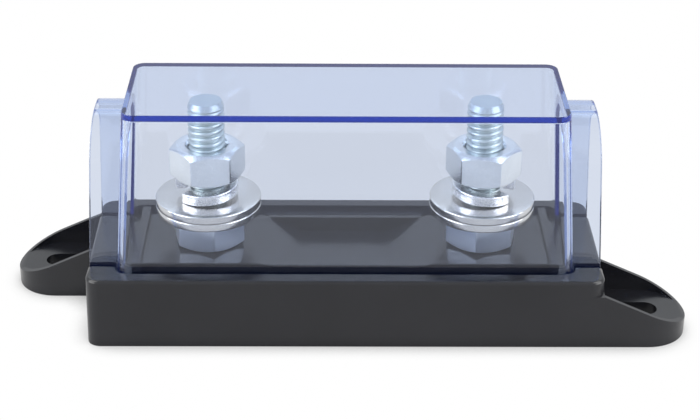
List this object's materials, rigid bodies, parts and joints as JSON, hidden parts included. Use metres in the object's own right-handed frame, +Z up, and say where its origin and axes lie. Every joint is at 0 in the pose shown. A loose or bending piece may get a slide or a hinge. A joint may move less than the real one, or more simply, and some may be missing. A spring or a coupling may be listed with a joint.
{
  "type": "fuse holder",
  "caption": "Bolt-down fuse holder: dark moulded base with diagonal mounting ears, upright stud bolts with nuts and washers, and a clear lift-off cover with cable tunnels.",
  "frame": {"origin": "middle of the underside, halfway between the two studs", "axes": "+X along the length towards the right-hand stud, +Z up along the studs, -Y towards the side seen in the picture"},
  "size_m": [0.1498, 0.04, 0.0519],
  "materials": {
    "base_plastic": "satin moulded",
    "cover_plastic": "clear, pale blue",
    "plated_steel": "bright zinc plated"
  },
  "bodies": {
    "base": {"base": "base_plastic", "stud_bolt_left": "plated_steel", "stud_bolt_right": "plated_steel", "clamp_nut_left": "plated_steel", "clamp_nut_right": "plated_steel", "lower_washer_left": "plated_steel", "lower_washer_right": "plated_steel"},
    "cover": {"cover": "cover_plastic"},
    "washers_left": {"upper_washer_left": "plated_steel", "lock_washer_left": "plated_steel"},
    "washers_right": {"upper_washer_right": "plated_steel", "lock_washer_right": "plated_steel"},
    "nut_left": {"top_nut_left": "plated_steel"},
    "nut_right": {"top_nut_right": "plated_steel"}
  },
  "joints": [
    {"name": "cover_lift", "type": "slide", "parent": "base", "child": "cover", "axis": [0, 0, 1], "range_m": [0, 0.05]},
    {"name": "washer_rise_left", "type": "slide", "parent": "base", "child": "washers_left", "axis": [0, 0, 1], "range_m": [0, 0.0099]},
    {"name": "nut_turn_left", "type": "hinge", "parent": "washers_left", "child": "nut_left", "pos_m": [-0.03, 0, 0.035], "axis": [0, 0, 1], "range_deg": [0, 2520]},
    {"name": "washer_rise_right", "type": "slide", "parent": "base", "child": "washers_right", "axis": [0, 0, 1], "range_m": [0, 0.0099]},
    {"name": "nut_turn_right", "type": "hinge", "parent": "washers_right", "child": "nut_right", "pos_m": [0.03, 0, 0.035], "axis": [0, 0, 1], "range_deg": [0, 2520]}
  ],
  "couplings": [
    {"joint": "washer_rise_left", "follows": "nut_turn_left", "m_per_rad": 0.00022457},
    {"joint": "washer_rise_right", "follows": "nut_turn_right", "m_per_rad": 0.00022457}
  ]
}
